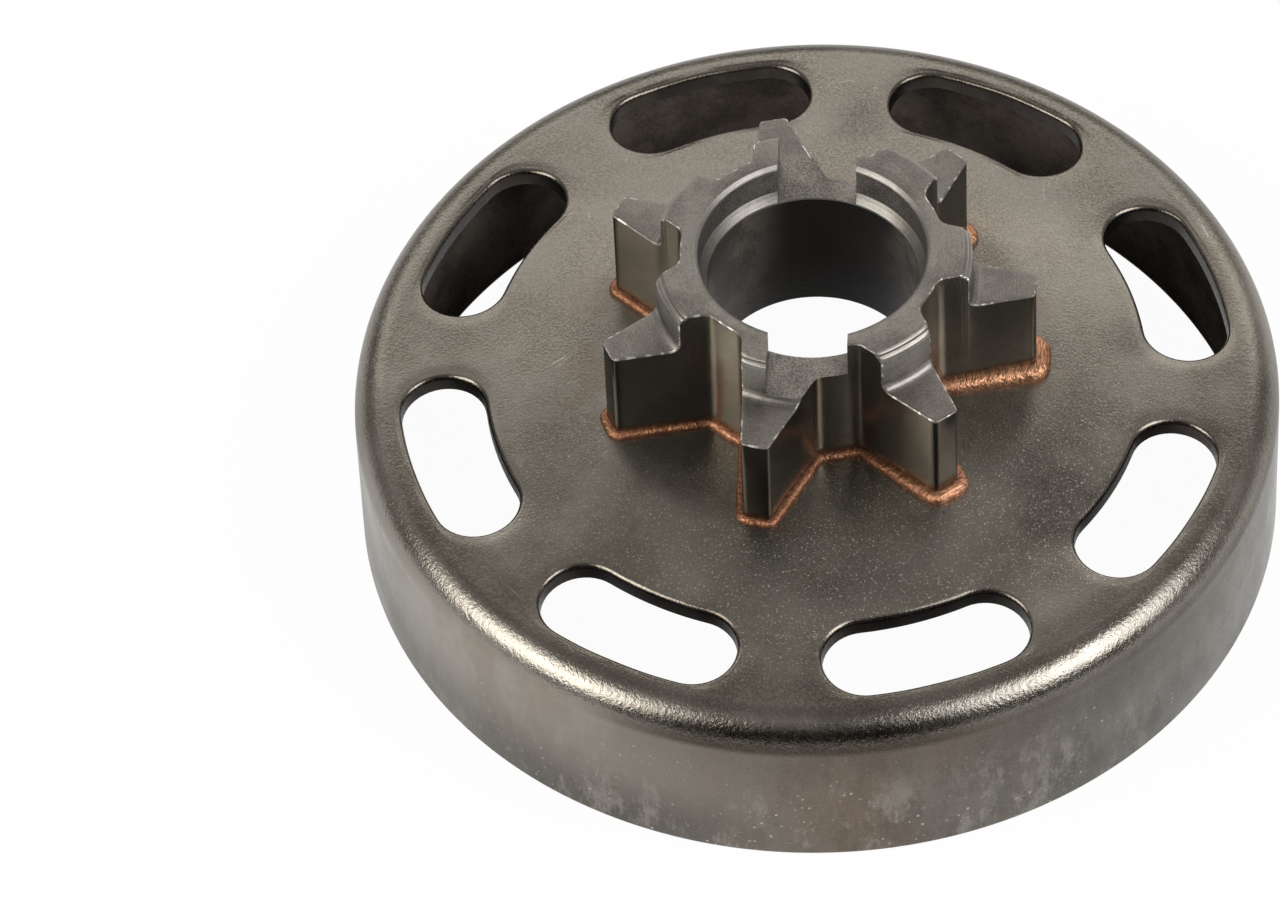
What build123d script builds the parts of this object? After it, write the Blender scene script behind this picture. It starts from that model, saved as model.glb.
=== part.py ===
from build123d import *
from math import radians, tan
import os

# Chainsaw clutch drum: a pressed steel cup with a spur sprocket brazed to its web.
# The origin is on the drum's axis in the plane of its open rim, which lies down, and +Z is up.
# One sprocket tooth points along +X. All lengths are in millimetres and all angles in degrees.

os.makedirs("parts", exist_ok=True)

# Drum cup, drawn from one thickness of sheet; the web rises from its rounded corner in two shallow
# cones to a flat hub, and the drum's height is that of the corner before it is rounded.
# The shoulder between the cones lies just inside the windows, and the hub reaches just past the bead.
drum_radius = 35.5
drum_height = 14.44
shoulder_rise = 0.81
shoulder_land = 0.79
hub_rise = 0.95
hub_land = 0.2
sheet_thickness = 1.6
drum_corner_radius = 2.9
inner_corner_bevel = 1.3

# Windows punched through the web, with a narrow land between them and the rounded corner;
# the sweep is between the centres of a window's round ends
window_count = 8
window_land = 0.69
window_width = 6.52
window_sweep_angle = 19.0
window_phase_angle = 19.3

# Sprocket teeth, straight-sided wedges that stand on the web's hub
tooth_count = 7
tooth_height = 8.75
tooth_tip_radius = 16.9
tooth_tip_land = 2.1
tooth_flank_angle = 14.0
tooth_tip_round = 0.45
gap_root_radius = 10.0
gap_corner_radius = 1.1

# Collar turned above the teeth, with a drive slot across it
collar_radius = 12.1
collar_height = 3.75
collar_chamfer = 0.55
collar_foot_bevel = 0.6
slot_width = 6.0
slot_depth = 3.3

# Stepped bore for the shaft's bearing, and the spigot that fills the web's hole and stands out below it
bore_radius = 8.0
bore_entry_chamfer = 0.75
counterbore_radius = 8.65
counterbore_mouth_chamfer = 0.35
spigot_radius = 9.5
spigot_drop = 1.4

# Copper bead run round the foot of the teeth
bead_width = 0.9
bead_height = 0.9
bead_bevel = 0.5

# Levels and sizes that follow from those above
shoulder_top = drum_height + shoulder_rise
hub_top = shoulder_top + hub_rise
spigot_bottom = hub_top - sheet_thickness - spigot_drop
tooth_top = hub_top + tooth_height
collar_top = tooth_top + collar_height
slot_floor = collar_top - slot_depth
window_middle_radius = drum_radius - drum_corner_radius - window_land - window_width / 2
shoulder_radius = window_middle_radius - window_width / 2 - shoulder_land
hub_radius = tooth_tip_radius + bead_width + hub_land
inner_wall_radius = drum_radius - sheet_thickness
web_slope = shoulder_rise / (drum_radius - shoulder_radius)
inner_corner_top = drum_height + web_slope * (sheet_thickness + inner_corner_bevel) - sheet_thickness
inner_wall_top = drum_height + web_slope * sheet_thickness - sheet_thickness - inner_corner_bevel
tooth_half_land = tooth_tip_land / 2
tooth_half_base = tooth_half_land + tooth_tip_radius * tan(radians(tooth_flank_angle))
bore_seat_top = slot_floor + counterbore_radius - bore_radius
bore_mouth_foot = collar_top - counterbore_mouth_chamfer
bore_mouth_radius = counterbore_radius + counterbore_mouth_chamfer

# Centre line of one window, swept evenly to both sides of its own middle
window_line = CenterArc((0, 0), window_middle_radius, -window_sweep_angle / 2, window_sweep_angle)

# Outline of the toothed body, seen along the axis
with BuildSketch() as tooth_outline:
    with PolarLocations(0, tooth_count):
        Polygon(
            (0, -tooth_half_base),
            (tooth_tip_radius, -tooth_half_land),
            (tooth_tip_radius, tooth_half_land),
            (0, tooth_half_base),
            align=None,
        )
    Circle(gap_root_radius)
    Circle(tooth_tip_radius, mode=Mode.INTERSECT)
    root_corners, tip_corners = tooth_outline.vertices().group_by(lambda corner: abs(Vector(corner)))
    fillet(root_corners, gap_corner_radius)
    fillet(tip_corners, tooth_tip_round)

# Pressed cup: a revolved section with a rounded corner, its windows punched and the spigot's hole bored
with BuildPart() as drum_cup:
    with BuildSketch(Plane.XZ) as cup_section:
        with BuildLine():
            Polyline(
                (0, hub_top - sheet_thickness),
                (0, hub_top),
                (hub_radius, hub_top),
                (shoulder_radius, shoulder_top),
                (drum_radius, drum_height),
                (drum_radius, 0),
                (inner_wall_radius, 0),
                (inner_wall_radius, inner_wall_top),
                (inner_wall_radius - inner_corner_bevel, inner_corner_top),
                (shoulder_radius, shoulder_top - sheet_thickness),
                (hub_radius, hub_top - sheet_thickness),
                close=True,
            )
        make_face()
        outer_corner = cup_section.vertices().group_by(Axis.X)[-1].sort_by(Axis.Y)[-1]
        fillet(outer_corner, drum_corner_radius)
    revolve(axis=Axis.Z)
    with BuildSketch(Plane.XY.offset(hub_top)):
        with PolarLocations(0, window_count, start_angle=window_phase_angle):
            SlotArc(window_line, window_width)
    extrude(amount=inner_wall_top - hub_top, mode=Mode.SUBTRACT)
    with BuildSketch(Plane.XY.offset(hub_top)):
        Circle(spigot_radius)
    extrude(amount=-sheet_thickness, mode=Mode.SUBTRACT)
drum_cup.part.label = "drum_cup"
export_step(drum_cup.part, "parts/drum_cup.step")

# Sprocket: one toothed bar, turned down to a collar, bored through and slotted across
with BuildPart() as spur_sprocket:
    with BuildSketch(Plane.XY.offset(hub_top)):
        add(tooth_outline.sketch)
    extrude(amount=tooth_height + collar_height)
    with BuildSketch(Plane.XY.offset(spigot_bottom)):
        Circle(spigot_radius)
    extrude(amount=spigot_drop + sheet_thickness)
    with BuildSketch(Plane.XZ):
        with BuildLine():
            Polyline(
                (collar_radius, tooth_top + collar_foot_bevel),
                (collar_radius, collar_top - collar_chamfer),
                (collar_radius - collar_chamfer, collar_top),
                (tooth_tip_radius, collar_top),
                (tooth_tip_radius, tooth_top),
                (collar_radius + collar_foot_bevel, tooth_top),
                close=True,
            )
        make_face()
    revolve(axis=Axis.Z, mode=Mode.SUBTRACT)
    with BuildSketch(Plane.XZ):
        with BuildLine():
            Polyline(
                (0, spigot_bottom),
                (bore_radius + bore_entry_chamfer, spigot_bottom),
                (bore_radius, spigot_bottom + bore_entry_chamfer),
                (bore_radius, slot_floor),
                (counterbore_radius, bore_seat_top),
                (counterbore_radius, bore_mouth_foot),
                (bore_mouth_radius, collar_top),
                (0, collar_top),
                close=True,
            )
        make_face()
    revolve(axis=Axis.Z, mode=Mode.SUBTRACT)
    with BuildSketch(Plane.XY.offset(slot_floor)):
        Rectangle(slot_width, 2 * tooth_tip_radius)
    extrude(amount=slot_depth, mode=Mode.SUBTRACT)
spur_sprocket.part.label = "spur_sprocket"
export_step(spur_sprocket.part, "parts/spur_sprocket.step")

# Braze: a bead in the corner between the teeth and the web
with BuildPart() as braze_bead:
    with BuildSketch(Plane.XY.offset(hub_top)):
        add(tooth_outline.sketch)
        offset(amount=bead_width)
        add(tooth_outline.sketch, mode=Mode.SUBTRACT)
    extrude(amount=bead_height)
    chamfer(braze_bead.faces().sort_by(Axis.Z)[-1].outer_wire().edges(), bead_bevel)
braze_bead.part.label = "braze_bead"
export_step(braze_bead.part, "parts/braze_bead.step")
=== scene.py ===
from math import atan, atan2, cos, hypot, pi, radians, sin, sqrt

import bmesh
import bpy
import numpy as np
from mathutils import Matrix, Vector, noise


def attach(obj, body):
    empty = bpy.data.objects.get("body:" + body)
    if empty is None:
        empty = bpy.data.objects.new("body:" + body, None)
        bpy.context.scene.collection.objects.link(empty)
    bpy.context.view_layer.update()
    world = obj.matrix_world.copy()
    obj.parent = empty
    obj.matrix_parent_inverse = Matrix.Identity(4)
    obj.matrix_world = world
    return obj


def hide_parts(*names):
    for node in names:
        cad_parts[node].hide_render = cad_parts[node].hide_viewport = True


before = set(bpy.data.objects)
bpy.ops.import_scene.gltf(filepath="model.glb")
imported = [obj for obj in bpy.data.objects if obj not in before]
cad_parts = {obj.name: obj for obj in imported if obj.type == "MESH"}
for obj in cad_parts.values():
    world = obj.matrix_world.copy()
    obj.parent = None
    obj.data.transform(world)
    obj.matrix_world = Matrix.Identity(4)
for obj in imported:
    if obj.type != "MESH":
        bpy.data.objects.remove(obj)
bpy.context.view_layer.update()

# Chainsaw clutch drum: the looks of its pressed cup, its spur sprocket and its copper bead.
# Lengths are millimetres, as in the part's source, and the meshes are made in metres.

MM = 0.001
WELD_GAP = 0.0005
SHARP_ANGLE = radians(38)

# Drum cup
drum_radius = 35.5
sheet_thickness = 1.6
drum_corner_radius = 2.9
inner_corner_radius = 1.3
rim_round = 0.3
spigot_radius = 9.5
inner_wall_radius = drum_radius - sheet_thickness

# Web: a flat hub, then two shallow slopes that run softly into each other
hub_top = 16.2
hub_radius = 18.0
hub_slope = 0.144
shoulder_radius = 24.6
shoulder_slope = 0.0743
web_softness = 0.8

# Windows of the web, each with an edge that the punch rolled over and dished
window_count = 8
window_middle_radius = 28.65
window_half_width = 3.26
window_half_sweep = radians(9.5)
window_phase = radians(19.3)
window_roll = 0.42
window_burr = 0.08
window_dish_depth = 0.07
window_dish_reach = 0.6
window_dish_room = 2.0
sector_inner_radius = 24.2

# Teeth
tooth_count = 7
tooth_tip_radius = 16.9
tooth_half_land = 1.05
tooth_flank_angle = radians(14)
tooth_tip_round = 0.45
gap_root_radius = 10.0
gap_corner_radius = 1.1
tooth_top = 24.95
edge_wear = 0.12
uneven_start_radius = 11.6
uneven_reach = 1.5
uneven_share = 0.75
uneven_pace = 0.9

# Collar and bore
collar_top = 28.7
collar_radius = 12.1
collar_foot_radius = 0.7
collar_draft = 0.02
slot_half_width = 3.0
slot_floor = 25.42
slot_headroom = 2.0
bore_radius = 8.0
bore_middle = 19.0
counterbore_radius = 8.65
seat_top = 26.12
seat_foot = 25.3
spigot_foot = 13.2

# Bead
bead_spacing = 0.05
bead_section_points = 12
bead_least_width = 0.54
bead_fullness = 0.56
bead_fullness_power = 1.5
bead_height_share = 0.85
bead_bulge = 0.10
bead_tuck = 0.02
bead_ripple_size = 0.03

# Pace, layer and size of the bead's changes along it, and pace and size of its grains
bead_changes = ((0.22, 4.0, 0.08), (0.8, 9.0, 0.05))
bead_grains = ((4.2, 0.025), (9.0, 0.015))


class Skin:
    """Points and faces of one piece, gathered row by row."""

    def __init__(self):
        self.points = []
        self.faces = []
        self.finishes = []

    def row(self, points):
        """Adds a row of points and gives their numbers."""
        first = len(self.points)
        self.points.extend(points)
        return list(range(first, len(self.points)))

    def face(self, numbers, finish):
        """Adds one face."""
        self.faces.append(tuple(numbers))
        self.finishes.append(finish)

    def strip(self, first, second, finish, closed=False):
        """Joins two rows of the same length with four-sided faces."""
        steps = len(first) if closed else len(first) - 1
        for i in range(steps):
            j = (i + 1) % len(first)
            self.face((first[i], first[j], second[j], second[i]), finish)

    def rows(self, rows_of_points, finish, closed=False):
        """Adds rows and joins each to the next."""
        numbers = [self.row(points) for points in rows_of_points]
        for first, second in zip(numbers, numbers[1:]):
            self.strip(first, second, finish, closed)
        return numbers

    def piece(self, name):
        """Makes the object, with equal points joined and all faces turned outward."""
        mesh = bpy.data.meshes.new(name)
        mesh.from_pydata([Vector(point) * MM for point in self.points], [], self.faces)
        mesh.polygons.foreach_set("material_index", self.finishes)
        shape = bmesh.new()
        shape.from_mesh(mesh)
        bmesh.ops.remove_doubles(shape, verts=shape.verts, dist=WELD_GAP * MM)
        bmesh.ops.dissolve_degenerate(shape, edges=shape.edges, dist=WELD_GAP * MM)
        bmesh.ops.recalc_face_normals(shape, faces=shape.faces)
        shape.to_mesh(mesh)
        shape.free()
        thing = bpy.data.objects.new(name, mesh)
        bpy.context.scene.collection.objects.link(thing)
        return thing


def polar(radius, angle):
    """A point of the plan."""
    return np.array((radius * cos(angle), radius * sin(angle)))


def arc(centre, radius, start, end, steps):
    """Points of a circle's arc, both ends included."""
    centre = np.array(centre)
    return [centre + polar(radius, start + (end - start) * i / steps) for i in range(steps + 1)]


def lift(plan, height):
    """Puts a point of the plan at a height."""
    return (plan[0], plan[1], height)


def lifted(plan, heights):
    """Puts points of the plan at their heights."""
    return [lift(point, z) for point, z in zip(plan, heights)]


def run_along(points):
    """How far along a line each of its points lies."""
    return np.concatenate(((0,), np.cumsum(np.linalg.norm(np.diff(points, axis=0), axis=1))))


def sampled(places, along, points):
    """Points of the plan at places along a line."""
    return np.array([np.interp(places, along, points[:, i]) for i in range(2)]).T


def smooth(thing):
    """Smooth shading, broken only at the sharp edges."""
    thing.data.polygons.foreach_set("use_smooth", [True] * len(thing.data.polygons))
    thing.data.set_sharp_from_angle(angle=SHARP_ANGLE)


# Drum cup

SKIN, CUT_EDGE, INSIDE, ROLLED = range(4)
CAP_STEPS = 6
ARC_STEPS = 28
SIDE_STEPS = 2 * CAP_STEPS
SECTOR_STEPS = ARC_STEPS + 2 * CAP_STEPS
RING_STEPS = window_count * SECTOR_STEPS
OUTER_CORNER_STEPS = 16
INNER_CORNER_STEPS = 8
RIM_STEPS = 4
WEB_ROWS = 40
wall_levels = (9.0, 6.0, 3.0)
inner_wall_levels = (rim_round, 4.0, 8.0)
sector_half_angle = pi / window_count


def ramp(distance):
    """A line that starts to rise softly at zero."""
    return (distance + np.sqrt(distance**2 + web_softness**2)) / 2


def web_height(radius):
    """Height of the web's upper face at a distance from the axis."""
    fall = hub_slope * ramp(radius - hub_radius)
    return hub_top - fall + (hub_slope - shoulder_slope) * ramp(radius - shoulder_radius)


def web_level(plan):
    """Heights of the web's upper face at points of the plan."""
    return web_height(np.linalg.norm(plan, axis=1))


corner_start_angle = pi / 2 - atan(shoulder_slope)
corner_centre_radius = drum_radius - drum_corner_radius
corner_start_radius = corner_centre_radius + drum_corner_radius * cos(corner_start_angle)
corner_centre_height = web_height(corner_start_radius) - drum_corner_radius * sin(corner_start_angle)
inner_corner_start_radius = inner_wall_radius - inner_corner_radius
inner_corner_top = web_height(inner_corner_start_radius) - sheet_thickness


def window_ring(outset):
    """The window's outline, moved outward, about the X axis, from its outer side round to its start."""
    half = window_half_width + outset
    right = polar(window_middle_radius, window_half_sweep)
    left = polar(window_middle_radius, -window_half_sweep)
    turn = window_half_sweep
    eighth = pi / 4
    outer = window_middle_radius + half
    inner = window_middle_radius - half
    arcs = (
        (left, half, -turn - eighth, -turn, CAP_STEPS),
        ((0, 0), outer, -turn, turn, ARC_STEPS),
        (right, half, turn, turn + eighth, CAP_STEPS),
        (right, half, turn + eighth, turn + pi - eighth, SIDE_STEPS),
        (right, half, turn + pi - eighth, turn + pi, CAP_STEPS),
        ((0, 0), inner, turn, -turn, ARC_STEPS),
        (left, half, pi - turn, pi - turn + eighth, CAP_STEPS),
        (left, half, pi - turn + eighth, 2 * pi - turn - eighth, SIDE_STEPS),
    )
    return np.array([point for one in arcs for point in arc(*one)[:-1]])


def sector_ring(outer):
    """The outline of one window's share of the web, point for point beside the window's outline."""
    half = sector_half_angle
    inner = sector_inner_radius
    points = arc((0, 0), outer, -half, half, SECTOR_STEPS)[:-1]
    points += [polar(outer + (inner - outer) * i / SIDE_STEPS, half) for i in range(SIDE_STEPS)]
    points += arc((0, 0), inner, half, -half, SECTOR_STEPS)[:-1]
    points += [polar(inner + (outer - inner) * i / SIDE_STEPS, -half) for i in range(SIDE_STEPS)]
    return np.array(points)


def full_ring(radius, height):
    """A ring round the axis whose points meet those of the sectors."""
    start = window_phase - sector_half_angle
    return [lift(polar(radius, start + 2 * pi * i / RING_STEPS), height) for i in range(RING_STEPS)]


def turned(plan, angle):
    """Points of the plan turned about the axis."""
    rotation = np.array(((cos(angle), -sin(angle)), (sin(angle), cos(angle))))
    return plan @ rotation.T


def placed(plan, heights, angle):
    """Points of the plan turned about the axis and put at their heights."""
    return lifted(turned(plan, angle), heights)


def window_rings():
    """Rings of one window's share of the web, as plans and heights, with the finish of each set."""
    roll_steps = 8
    lip_steps = 2
    crest_steps = 6
    shares = (0.0, 0.02, 0.06, 0.12, 0.2, 0.3, 0.42, 0.56, 0.75, 1.0)
    edge = window_ring(0)
    burr = window_ring(window_burr)
    shoulder = window_ring(window_roll)
    border = sector_ring(corner_start_radius)
    room = np.linalg.norm(border - shoulder, axis=1)
    depth = window_dish_depth * np.minimum(1, room / window_dish_room)
    wall = [
        (burr, web_level(burr) - sheet_thickness),
        (edge, web_level(edge) - sheet_thickness + window_burr),
    ]
    roll = []
    for i in range(roll_steps + 1):
        turn = pi / 2 * i / roll_steps
        plan = window_ring(window_roll * (1 - cos(turn)))
        roll.append((plan, web_level(plan) - depth - window_roll * (1 - sin(turn))))
    wall += roll[: lip_steps + 1]
    rolled = roll[lip_steps : crest_steps + 1]
    top = roll[crest_steps:]
    for share in shares:
        plan = shoulder + (border - shoulder) * share
        reach = room * share / window_dish_reach
        dish = depth * np.exp(-reach * reach) * (1 - share) ** 2
        top.append((plan, web_level(plan) - dish))
    inner_border = sector_ring(inner_corner_start_radius)
    under = [(plan, web_level(plan) - sheet_thickness) for plan in (inner_border, burr)]
    return ((wall, CUT_EDGE), (rolled, ROLLED), (top, SKIN), (under, INSIDE))


def drum_cup_skin():
    """The pressed cup: eight window sectors, the rounded corner, the wall, the rim and the inside."""
    skin = Skin()
    shares = window_rings()
    for k in range(window_count):
        angle = window_phase + 2 * pi * k / window_count
        for rings, finish in shares:
            skin.rows([placed(plan, heights, angle) for plan, heights in rings], finish, closed=True)
    corner_centre = (corner_centre_radius, corner_centre_height)
    rim_outside = (drum_radius - rim_round, rim_round)
    rim_inside = (inner_wall_radius + rim_round, rim_round)
    outside = arc(corner_centre, drum_corner_radius, corner_start_angle, 0, OUTER_CORNER_STEPS)
    outside += [(drum_radius, level) for level in wall_levels]
    outside += arc(rim_outside, rim_round, 0, -pi / 2, RIM_STEPS)
    outside += arc(rim_inside, rim_round, -pi / 2, -pi, RIM_STEPS)
    skin.rows([full_ring(*point) for point in outside], SKIN, closed=True)
    inner_centre = (inner_corner_start_radius, inner_corner_top - inner_corner_radius)
    inside = [(inner_wall_radius, level) for level in inner_wall_levels]
    inside += arc(inner_centre, inner_corner_radius, 0, pi / 2, INNER_CORNER_STEPS)
    skin.rows([full_ring(*point) for point in inside], INSIDE, closed=True)
    web_radii = np.linspace(sector_inner_radius, spigot_radius, WEB_ROWS)
    top = [full_ring(radius, web_height(radius)) for radius in web_radii]
    under = [full_ring(radius, web_height(radius) - sheet_thickness) for radius in web_radii]
    skin.rows(top, SKIN, closed=True)
    skin.rows(under, INSIDE, closed=True)
    skin.rows([top[-1], under[-1]], INSIDE, closed=True)
    return skin


# Sprocket

FLANK, WORN, TURNED, BORE, SINTERED, BRIGHT = range(6)
COLUMN_STEPS = 12
ROOT_STEPS = 4
CORNER_STEPS = 10
TIP_STEPS = 6
FOOT_STEPS = 7
COLLAR_FLAT_POINTS = 5
TOOTH_FLAT_POINTS = 9
pitch = 2 * pi / tooth_count

# Outline of half a tooth: the flank's distance from the axis, and the centres of its two rounds
flank_outward = np.array((sin(tooth_flank_angle), cos(tooth_flank_angle)))
flank_along = np.array((cos(tooth_flank_angle), -sin(tooth_flank_angle)))
flank_distance = flank_outward @ np.array((tooth_tip_radius, tooth_half_land))


def beside_flank(distance, radius):
    """The point at a distance from the axis along the flank's normal, and at a radius."""
    return flank_outward * distance + flank_along * sqrt(radius**2 - distance**2)


gap_centre = beside_flank(flank_distance + gap_corner_radius, gap_root_radius + gap_corner_radius)
tip_centre = beside_flank(flank_distance - tooth_tip_round, tooth_tip_radius - tooth_tip_round)
root_end_angle = atan2(gap_centre[1], gap_centre[0])
tip_end_angle = atan2(tip_centre[1], tip_centre[0])
flank_start_radius = np.linalg.norm(gap_centre - flank_outward * gap_corner_radius)
flank_end_radius = np.linalg.norm(tip_centre + flank_outward * tooth_tip_round)


def stepped(radius, height, steps):
    """Points of a turned profile, each by its steps outward and upward from one corner."""
    return [(radius + outward, height + upward) for outward, upward in steps]


# Turned profiles: the collar's chamfer with fine grooves, and the bevels of the bore from its mouth down
chamfer_steps = (
    (-0.64, 0.0),
    (-0.58, -0.01),
    (-0.43, -0.16),
    (-0.42, -0.27),
    (-0.30, -0.29),
    (-0.12, -0.47),
    (-0.11, -0.58),
    (-0.02, -0.60),
    (0.0, -0.64),
)
mouth_steps = ((0.40, 0.0), (0.32, -0.03), (0.04, -0.31), (0.0, -0.39))
seat_steps = ((0.61, 0.72), (0.06, 0.17), (0.01, 0.10), (0.0, 0.0))
lower_steps = ((0.0, 0.85), (0.04, 0.72), (0.70, 0.04), (0.78, 0.0))
spigot_steps = ((-0.06, 0.0), (0.0, 0.06))
collar_chamfer = stepped(collar_radius, collar_top, chamfer_steps)
mouth_bevel = stepped(counterbore_radius, collar_top, mouth_steps)
seat_bevel = [(counterbore_radius, seat_top)] + stepped(bore_radius, seat_foot, seat_steps)
lower_bevel = stepped(bore_radius, spigot_foot, lower_steps)
spigot_bevel = stepped(spigot_radius, spigot_foot, spigot_steps)
foot_centre = (collar_radius + collar_draft + collar_foot_radius, tooth_top + collar_foot_radius)
collar_foot = [tuple(p) for p in arc(foot_centre, collar_foot_radius, pi, 1.5 * pi, FOOT_STEPS)]
collar_profile = collar_chamfer + collar_foot


def half_tooth_rows():
    """Points from the gap's middle to the tooth's middle: plan, outward normal, height, and if steep."""
    rows = []
    for i in range(ROOT_STEPS):
        angle = pitch / 2 + (root_end_angle - pitch / 2) * i / ROOT_STEPS
        rows.append((polar(gap_root_radius, angle), polar(1, angle), collar_top, False))
    corner_start = root_end_angle + pi
    corner_end = atan2(-flank_outward[1], -flank_outward[0]) + 2 * pi
    for point in arc(gap_centre, gap_corner_radius, corner_start, corner_end, CORNER_STEPS):
        rows.append((point, (gap_centre - point) / gap_corner_radius, collar_top, False))
    flat_radii = np.linspace(flank_start_radius, collar_profile[0][0], COLLAR_FLAT_POINTS)[1:-1]
    flank = [(radius, collar_top, False) for radius in flat_radii]
    flank += [(radius, height, True) for radius, height in collar_profile]
    tooth_radii = np.linspace(collar_profile[-1][0], flank_end_radius, TOOTH_FLAT_POINTS)[1:-1]
    flank += [(radius, tooth_top, False) for radius in tooth_radii]
    for radius, height, steep in flank:
        rows.append((beside_flank(flank_distance, radius), flank_outward, height, steep))
    tip_start = atan2(flank_outward[1], flank_outward[0])
    for point in arc(tip_centre, tooth_tip_round, tip_start, tip_end_angle, TIP_STEPS):
        rows.append((point, (point - tip_centre) / tooth_tip_round, tooth_top, False))
    for i in range(1, COLUMN_STEPS // 2 + 1):
        angle = tip_end_angle * (1 - 2 * i / COLUMN_STEPS)
        rows.append((polar(tooth_tip_radius, angle), polar(1, angle), tooth_top, False))
    return rows


def wear_along(plan):
    """Width of the worn edge at each place: even in the gaps, uneven on the teeth."""
    radius = np.linalg.norm(plan, axis=1)
    uneven = uneven_share * np.clip((radius - uneven_start_radius) / uneven_reach, 0, 1)
    waves = [noise.noise(Vector((x * uneven_pace, y * uneven_pace, 0))) for x, y in plan]
    return edge_wear * (1 + uneven * np.array(waves))


def worn_edge(rows, tooth, side):
    """The rounded edge of one side of a tooth, as lines from its top over the round to its foot."""
    least_step = 1e-4
    plan = np.array([row[0] for row in rows])
    outward = np.array([row[1] for row in rows])
    height = np.array([row[2] for row in rows])
    wear = wear_along(turned(plan * np.array((1, side)), pitch * tooth))
    along = run_along(plan)
    run = np.gradient(along)
    drop = np.gradient(height)
    length = np.hypot(run, drop)
    side_along = along + wear * drop / length
    side_along = np.maximum.accumulate(side_along + least_step * np.arange(len(rows)))
    side_height = height - wear * run / length
    foot = sampled(side_along, along, plan)
    top = plan - wear[:, None] * outward
    for i, row in enumerate(rows):
        if row[3]:
            radius = hypot(*plan[i])
            angle = atan2(plan[i][1], plan[i][0])
            lean = outward[i] @ polar(1, angle + pi / 2)
            top[i] = polar(radius, angle - wear[i] / (radius * lean))
    lines = [lifted(top, height)]
    for share in (1 / 3, 2 / 3):
        parts = ((1 - share) ** 2, 2 * share * (1 - share), share**2)
        mixed = parts[0] * top + parts[1] * plan + parts[2] * foot
        levels = (parts[0] + parts[1]) * height + parts[2] * side_height
        lines.append(lifted(mixed, levels))
    lines.append(lifted(foot, side_height))
    lines.append([lift(p, hub_top) for p in foot])
    return [np.array(line) * np.array((1, side, 1)) for line in lines]


def round_axis(points, tooth):
    """Points turned to their place on a tooth."""
    return placed(points[:, :2], points[:, 2], pitch * tooth)


def sprocket_skin():
    """The toothed piece, closed, before its slot is cut."""
    skin = Skin()
    rows = half_tooth_rows()
    shares = np.linspace(-1, 1, COLUMN_STEPS + 1)
    first_row = ROOT_STEPS
    last_row = len(rows) - 1 - COLUMN_STEPS // 2
    steep_row = [row[3] for row in rows].index(True) - first_row
    wall_row = steep_row + len(collar_chamfer) - 1
    ring_radius = gap_root_radius - edge_wear
    column_angles = root_end_angle * shares
    root_angles = np.linspace(root_end_angle, pitch - root_end_angle, 2 * ROOT_STEPS + 1)[1:-1]
    tooth_angles = np.concatenate((column_angles, root_angles))
    ring_angles = np.concatenate([tooth_angles + pitch * k for k in range(tooth_count)])

    def ring(radius, height):
        return [lift(polar(radius, angle), height) for angle in ring_angles]

    for tooth in range(tooth_count):
        # each side's lines run from the gap to the tip, so the clockwise side comes first
        before = worn_edge(rows, tooth, -1)
        after = worn_edge(rows, tooth, 1)
        whole = [np.concatenate((first, second[-2::-1])) for first, second in zip(before, after)]
        lines = [skin.row(round_axis(line, tooth)) for line in whole]
        for first, second in zip(lines, lines[1:4]):
            skin.strip(first, second, WORN)
        skin.strip(lines[3], lines[4], FLANK)
        grid = []
        for start, end in zip(before[0][first_row : last_row + 1], after[0][first_row : last_row + 1]):
            radii = np.interp(shares, (-1, 1), (hypot(start[0], start[1]), hypot(end[0], end[1])))
            angles = np.interp(shares, (-1, 1), (atan2(start[1], start[0]), atan2(end[1], end[0])))
            columns = np.array([lift(polar(r, angle), start[2]) for r, angle in zip(radii, angles)])
            grid.append(round_axis(columns, tooth))
        skin.rows(grid[: steep_row + 1], TURNED)
        skin.rows(grid[steep_row : wall_row + 1], BRIGHT)
        skin.rows(grid[wall_row:], TURNED)
        foot = ring(spigot_radius, hub_top)
        begin = tooth * len(tooth_angles) - ROOT_STEPS
        foot = [foot[(begin + i) % len(foot)] for i in range(len(tooth_angles) + 1)]
        skin.face(lines[4] + skin.row(foot)[::-1], FLANK)
    bore_profile = [
        (TURNED, [(ring_radius, collar_top)] + mouth_bevel[:2]),
        (BRIGHT, mouth_bevel[1:]),
        (SINTERED, [mouth_bevel[-1], seat_bevel[0]]),
        (BRIGHT, seat_bevel),
        (BORE, [seat_bevel[-1], (bore_radius, bore_middle)] + lower_bevel[:2]),
        (TURNED, lower_bevel[1:] + spigot_bevel),
        (FLANK, [spigot_bevel[-1], (spigot_radius, hub_top)]),
    ]
    for finish, profile in bore_profile:
        skin.rows([ring(*point) for point in profile], finish, closed=True)
    return skin


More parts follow.
